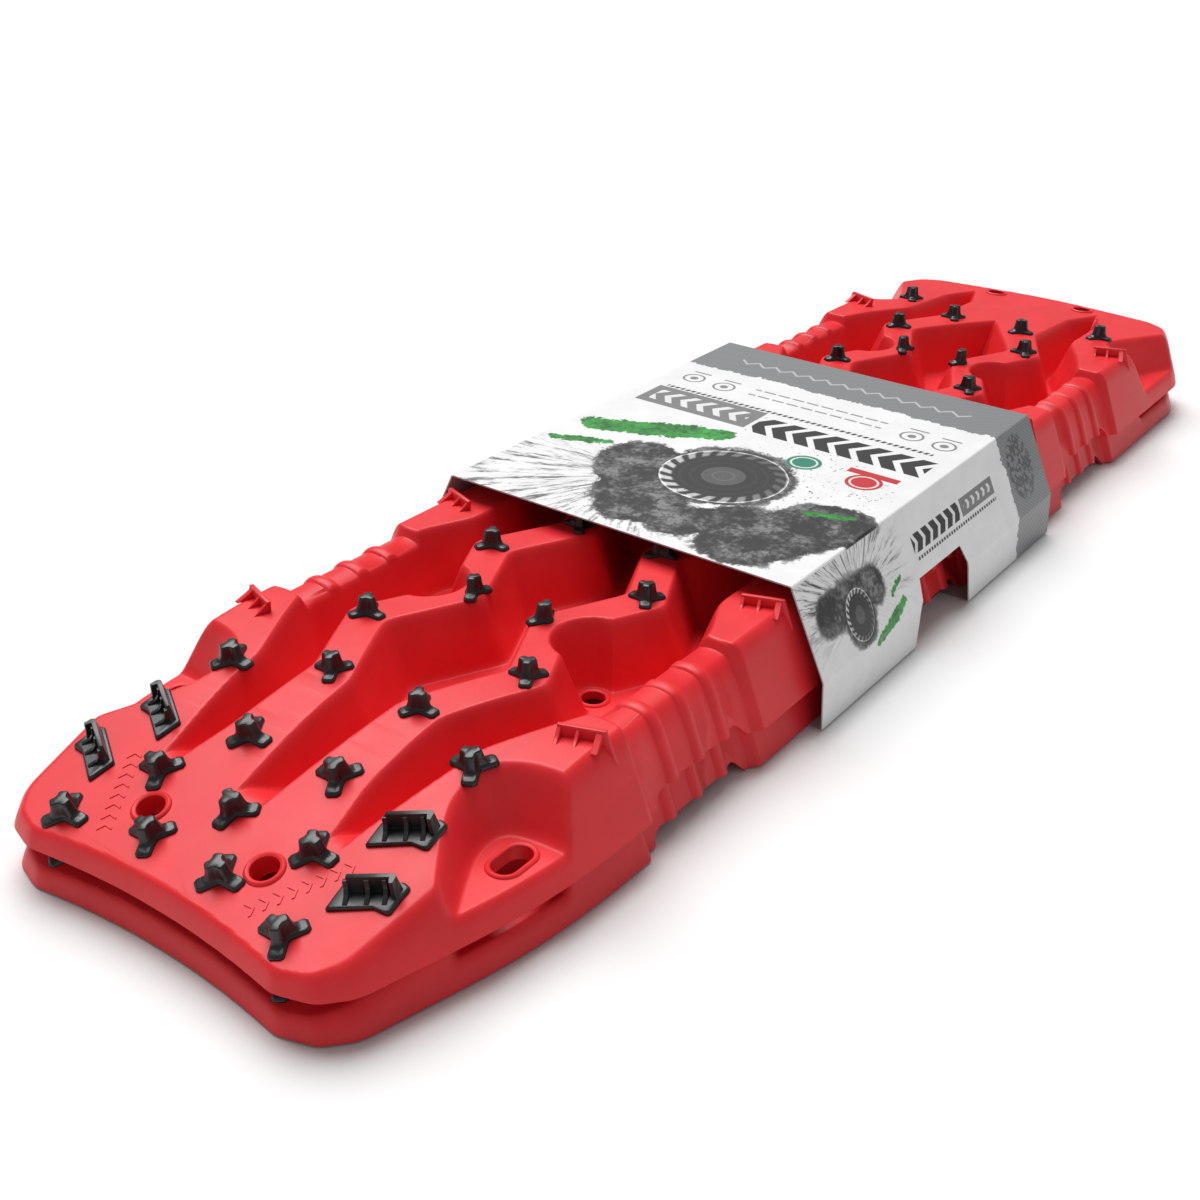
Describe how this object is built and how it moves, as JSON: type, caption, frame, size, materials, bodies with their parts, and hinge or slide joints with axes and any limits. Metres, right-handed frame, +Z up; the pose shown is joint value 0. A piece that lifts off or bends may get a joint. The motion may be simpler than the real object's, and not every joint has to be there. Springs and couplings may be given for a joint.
{
  "type": "nested vehicle recovery boards in a carton sleeve",
  "caption": "Two rigid ribbed traction boards with black cleats, nested and held together by a printed cardboard sleeve.",
  "frame": {"origin": "under the middle of the nested pair, on the surface that it lies on", "axes": "+X along the boards towards the plain end (the ramp end is at -X), +Y to the left, +Z up"},
  "size_m": [1.16, 0.336, 0.0938],
  "materials": {
    "red_nylon": "satin moulded",
    "black_cleat": "semi-gloss moulded",
    "printed_card": "satin printed"
  },
  "bodies": {
    "lower_board": {"lower_board": "red_nylon", "lower_front_bar_left": "black_cleat", "lower_front_bar_right": "black_cleat", "lower_front_cleats": "black_cleat", "lower_ramp_top_cleats": "black_cleat", "lower_rear_bar_left": "black_cleat", "lower_rear_bar_right": "black_cleat", "lower_ridge_row_01": "black_cleat", "lower_ridge_row_02": "black_cleat", "lower_ridge_row_03": "black_cleat", "lower_ridge_row_04": "black_cleat", "lower_ridge_row_05": "black_cleat", "lower_ridge_row_06": "black_cleat", "lower_ridge_row_07": "black_cleat", "lower_ridge_row_08": "black_cleat", "lower_ridge_row_09": "black_cleat", "lower_ridge_row_10": "black_cleat", "lower_ridge_row_11": "black_cleat", "lower_ridge_row_12": "black_cleat", "lower_ridge_row_13": "black_cleat", "lower_ridge_row_14": "black_cleat", "lower_ridge_row_15": "black_cleat", "lower_second_cleats": "black_cleat", "lower_tail_cleats": "black_cleat"},
    "upper_board": {"upper_board": "red_nylon", "upper_front_bar_left": "black_cleat", "upper_front_bar_right": "black_cleat", "upper_front_cleats": "black_cleat", "upper_ramp_top_cleats": "black_cleat", "upper_rear_bar_left": "black_cleat", "upper_rear_bar_right": "black_cleat", "upper_ridge_row_01": "black_cleat", "upper_ridge_row_02": "black_cleat", "upper_ridge_row_03": "black_cleat", "upper_ridge_row_04": "black_cleat", "upper_ridge_row_05": "black_cleat", "upper_ridge_row_06": "black_cleat", "upper_ridge_row_07": "black_cleat", "upper_ridge_row_08": "black_cleat", "upper_ridge_row_09": "black_cleat", "upper_ridge_row_10": "black_cleat", "upper_ridge_row_11": "black_cleat", "upper_ridge_row_12": "black_cleat", "upper_ridge_row_13": "black_cleat", "upper_ridge_row_14": "black_cleat", "upper_ridge_row_15": "black_cleat", "upper_second_cleats": "black_cleat", "upper_tail_cleats": "black_cleat"},
    "sleeve": {"sleeve": "printed_card"}
  },
  "joints": [
    {"name": "sleeve_slide", "type": "slide", "parent": "lower_board", "child": "sleeve", "axis": [1, 0, 0], "range_m": [-0.77, 0.77]},
    {"name": "upper_board_play", "type": "slide", "parent": "lower_board", "child": "upper_board", "axis": [0, 0, 1], "range_m": [0, 0.0012]}
  ]
}
